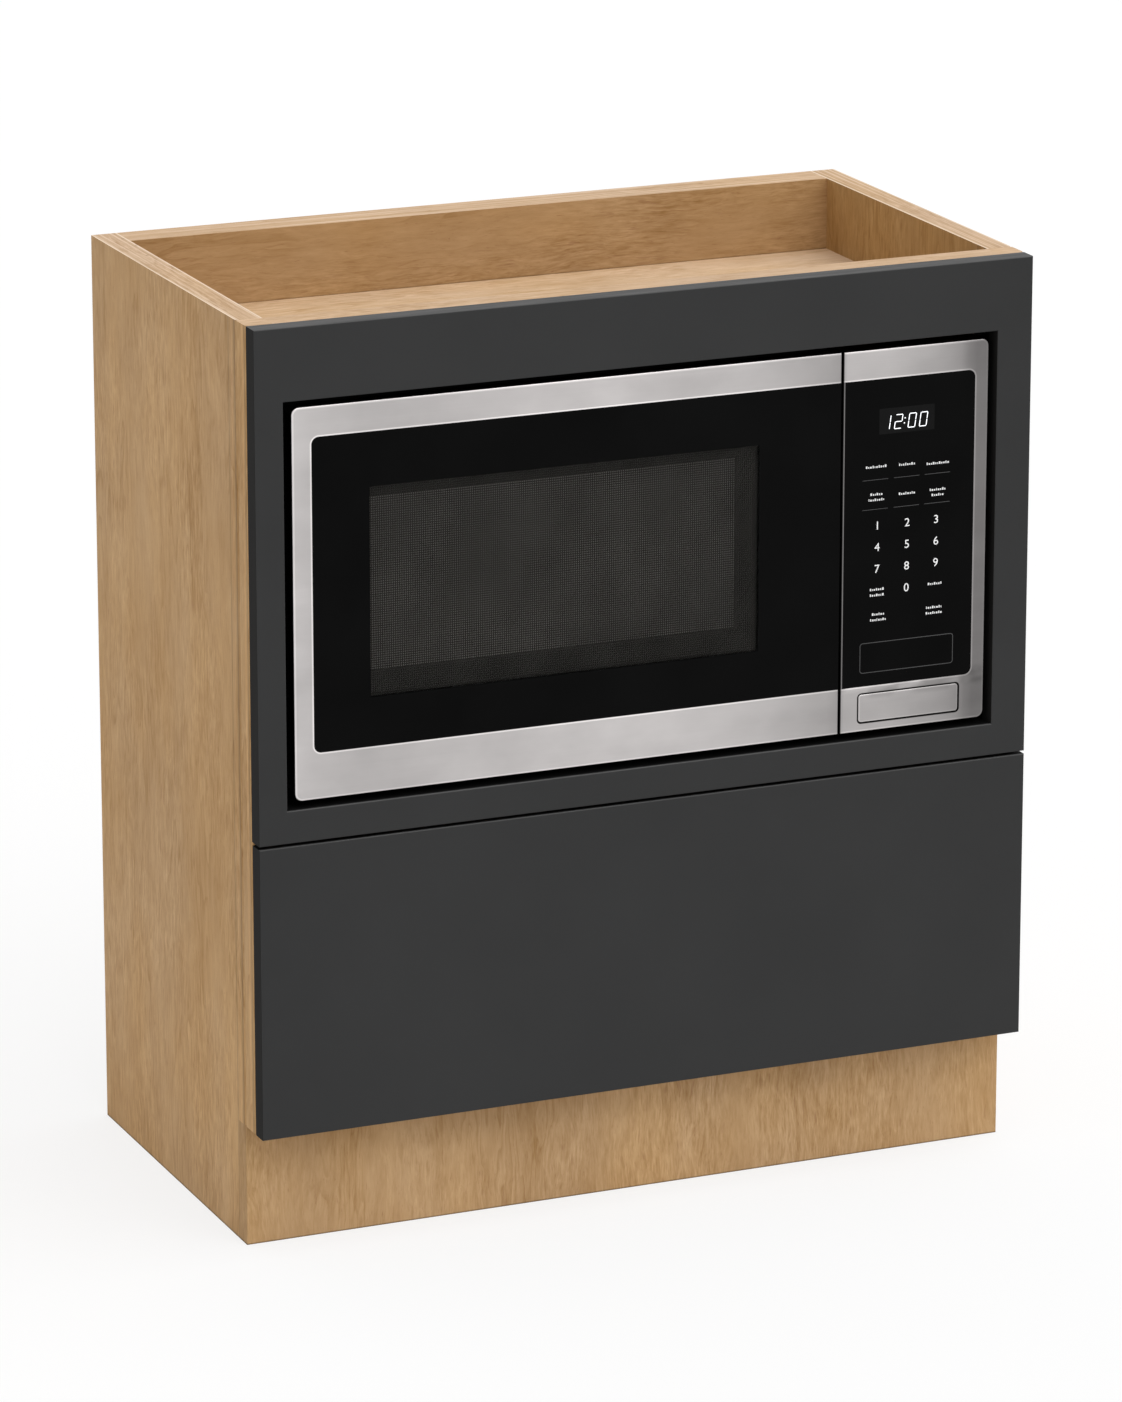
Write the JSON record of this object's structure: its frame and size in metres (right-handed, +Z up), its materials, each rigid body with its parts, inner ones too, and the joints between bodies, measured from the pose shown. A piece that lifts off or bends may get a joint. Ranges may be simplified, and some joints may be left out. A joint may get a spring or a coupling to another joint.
{
  "type": "microwave base cabinet",
  "caption": "Wooden base cabinet with an open well on top, a built-in microwave oven with a side-hinged door behind a charcoal surround, and a full-width drawer over a recessed toe board",
  "frame": {"origin": "on the floor under the middle of the bounding box", "axes": "+X to the right seen from the front, the fronts face -Y, +Z up"},
  "size_m": [0.762, 0.425, 0.864],
  "materials": {
    "veneer": "satin birch-like veneer with a fine straight grain",
    "birch_ply": "plain lacquered plywood",
    "charcoal": "matte charcoal paint on board",
    "stainless": "fine horizontal brushing",
    "black_glass": "polished black glass",
    "screen": "dark perforated sheet",
    "dark_steel": "dark painted sheet",
    "enamel": "light enamelled sheet",
    "zinc": "zinc-plated steel",
    "clear_glass": "clear toughened glass",
    "white_plastic": "moulded white plastic",
    "black_plastic": "moulded black plastic",
    "inner_pane": "thin clouded plastic sheet",
    "mica": "pale pressed mica sheet",
    "display": "dark display lens",
    "copper_core": "laminated core and lacquered windings",
    "rubber_foot": "matte rubber"
  },
  "bodies": {
    "cabinet": {"left_side_panel": "veneer", "right_side_panel": "veneer", "back_panel": "veneer", "hanging_rail": "veneer", "top_deck": "veneer", "microwave_shelf": "veneer", "bottom_panel": "veneer", "toe_kick_board": "veneer", "left_stile": "veneer", "right_stile": "veneer", "top_rail": "veneer", "middle_rail": "veneer", "bottom_rail": "veneer", "upper_front_panel": "charcoal", "cabinet_screws": "zinc", "left_slide_outer": "zinc", "right_slide_outer": "zinc", "microwave_case": "dark_steel", "microwave_chassis": "zinc", "microwave_feet": "rubber_foot", "cavity_liner": "enamel", "cavity_front_plate": "enamel", "waveguide_duct": "zinc", "waveguide_cover": "mica", "magnetron": "zinc", "hv_transformer": "copper_core", "fan_housing": "white_plastic", "power_cord_gland": "black_plastic", "hinge_brackets": "zinc", "control_bezel": "stainless", "control_glass": "black_glass", "display_window": "display", "button_spring": "zinc", "turntable_motor": "zinc"},
    "drawer": {"drawer_front": "charcoal", "drawer_box_left": "birch_ply", "drawer_box_right": "birch_ply", "drawer_box_front": "birch_ply", "drawer_box_back": "birch_ply", "drawer_floor": "birch_ply", "drawer_front_screws": "zinc", "left_slide_inner": "zinc", "right_slide_inner": "zinc"},
    "left_slide_member": {"left_slide_middle": "zinc"},
    "right_slide_member": {"right_slide_middle": "zinc"},
    "oven_door": {"door_frame": "stainless", "door_glass": "black_glass", "door_screen": "screen", "door_inner_pane": "inner_pane", "door_inner_frame": "dark_steel"},
    "latch": {"latch_hooks": "white_plastic"},
    "button": {"release_button": "stainless"},
    "lever": {"release_lever": "white_plastic"},
    "turntable": {"turntable_glass": "clear_glass", "turntable_coupler": "white_plastic"},
    "ring": {"roller_ring": "white_plastic"},
    "roller_a": {"roller_1": "white_plastic"},
    "roller_b": {"roller_2": "white_plastic"},
    "roller_c": {"roller_3": "white_plastic"},
    "fan": {"fan_blade": "white_plastic"}
  },
  "joints": [
    {"name": "drawer_slide", "type": "slide", "parent": "cabinet", "child": "drawer", "axis": [0, -1, 0], "range_m": [0, 0.33]},
    {"name": "left_member_slide", "type": "slide", "parent": "cabinet", "child": "left_slide_member", "axis": [0, -1, 0], "range_m": [0, 0.165]},
    {"name": "right_member_slide", "type": "slide", "parent": "cabinet", "child": "right_slide_member", "axis": [0, -1, 0], "range_m": [0, 0.165]},
    {"name": "door_hinge", "type": "hinge", "parent": "cabinet", "child": "oven_door", "pos_m": [-0.335, -0.1965, 0.6095], "axis": [0, 0, -1], "range_deg": [0, 100]},
    {"name": "latch_lift", "type": "slide", "parent": "oven_door", "child": "latch", "axis": [0, 0, 1], "range_m": [0, 0.0032]},
    {"name": "button_press", "type": "slide", "parent": "cabinet", "child": "button", "axis": [0, 1, 0], "range_m": [0, 0.004], "stiffness_N_per_m": 400, "springref_m": -0.001, "deforming": ["button_spring"]},
    {"name": "lever_tip", "type": "hinge", "parent": "cabinet", "child": "lever", "pos_m": [0.215, -0.15, 0.471], "axis": [1, 0, 0], "range_deg": [0, 11.7]},
    {"name": "turntable_spin", "type": "hinge", "parent": "cabinet", "child": "turntable", "pos_m": [-0.092, -0.022, 0.5], "axis": [0, 0, 1], "continuous": true},
    {"name": "ring_spin", "type": "hinge", "parent": "cabinet", "child": "ring", "pos_m": [-0.092, -0.022, 0.4885], "axis": [0, 0, 1], "continuous": true},
    {"name": "fan_spin", "type": "hinge", "parent": "cabinet", "child": "fan", "pos_m": [0.232, 0.1445, 0.7], "axis": [0, 1, 0], "continuous": true},
    {"name": "roller_a_spin", "type": "hinge", "parent": "ring", "child": "roller_a", "pos_m": [-0.092, 0.085, 0.4885], "axis": [0, 1, 0], "continuous": true},
    {"name": "roller_b_spin", "type": "hinge", "parent": "ring", "child": "roller_b", "pos_m": [-0.18466, -0.0755, 0.4885], "axis": [-0.866, -0.5, 0], "continuous": true},
    {"name": "roller_c_spin", "type": "hinge", "parent": "ring", "child": "roller_c", "pos_m": [0.00067, -0.0755, 0.4885], "axis": [0.866, -0.5, 0], "continuous": true}
  ],
  "couplings": [
    {"joint": "left_member_slide", "follows": "drawer_slide", "ratio": 0.5},
    {"joint": "right_member_slide", "follows": "drawer_slide", "ratio": 0.5},
    {"joint": "latch_lift", "follows": "button_press", "ratio": 0.8},
    {"joint": "lever_tip", "follows": "button_press", "rad_per_m": 50.4},
    {"joint": "ring_spin", "follows": "turntable_spin", "ratio": 0.5},
    {"joint": "roller_a_spin", "follows": "turntable_spin", "ratio": -7.6429},
    {"joint": "roller_b_spin", "follows": "turntable_spin", "ratio": -7.6429},
    {"joint": "roller_c_spin", "follows": "turntable_spin", "ratio": -7.6429}
  ]
}
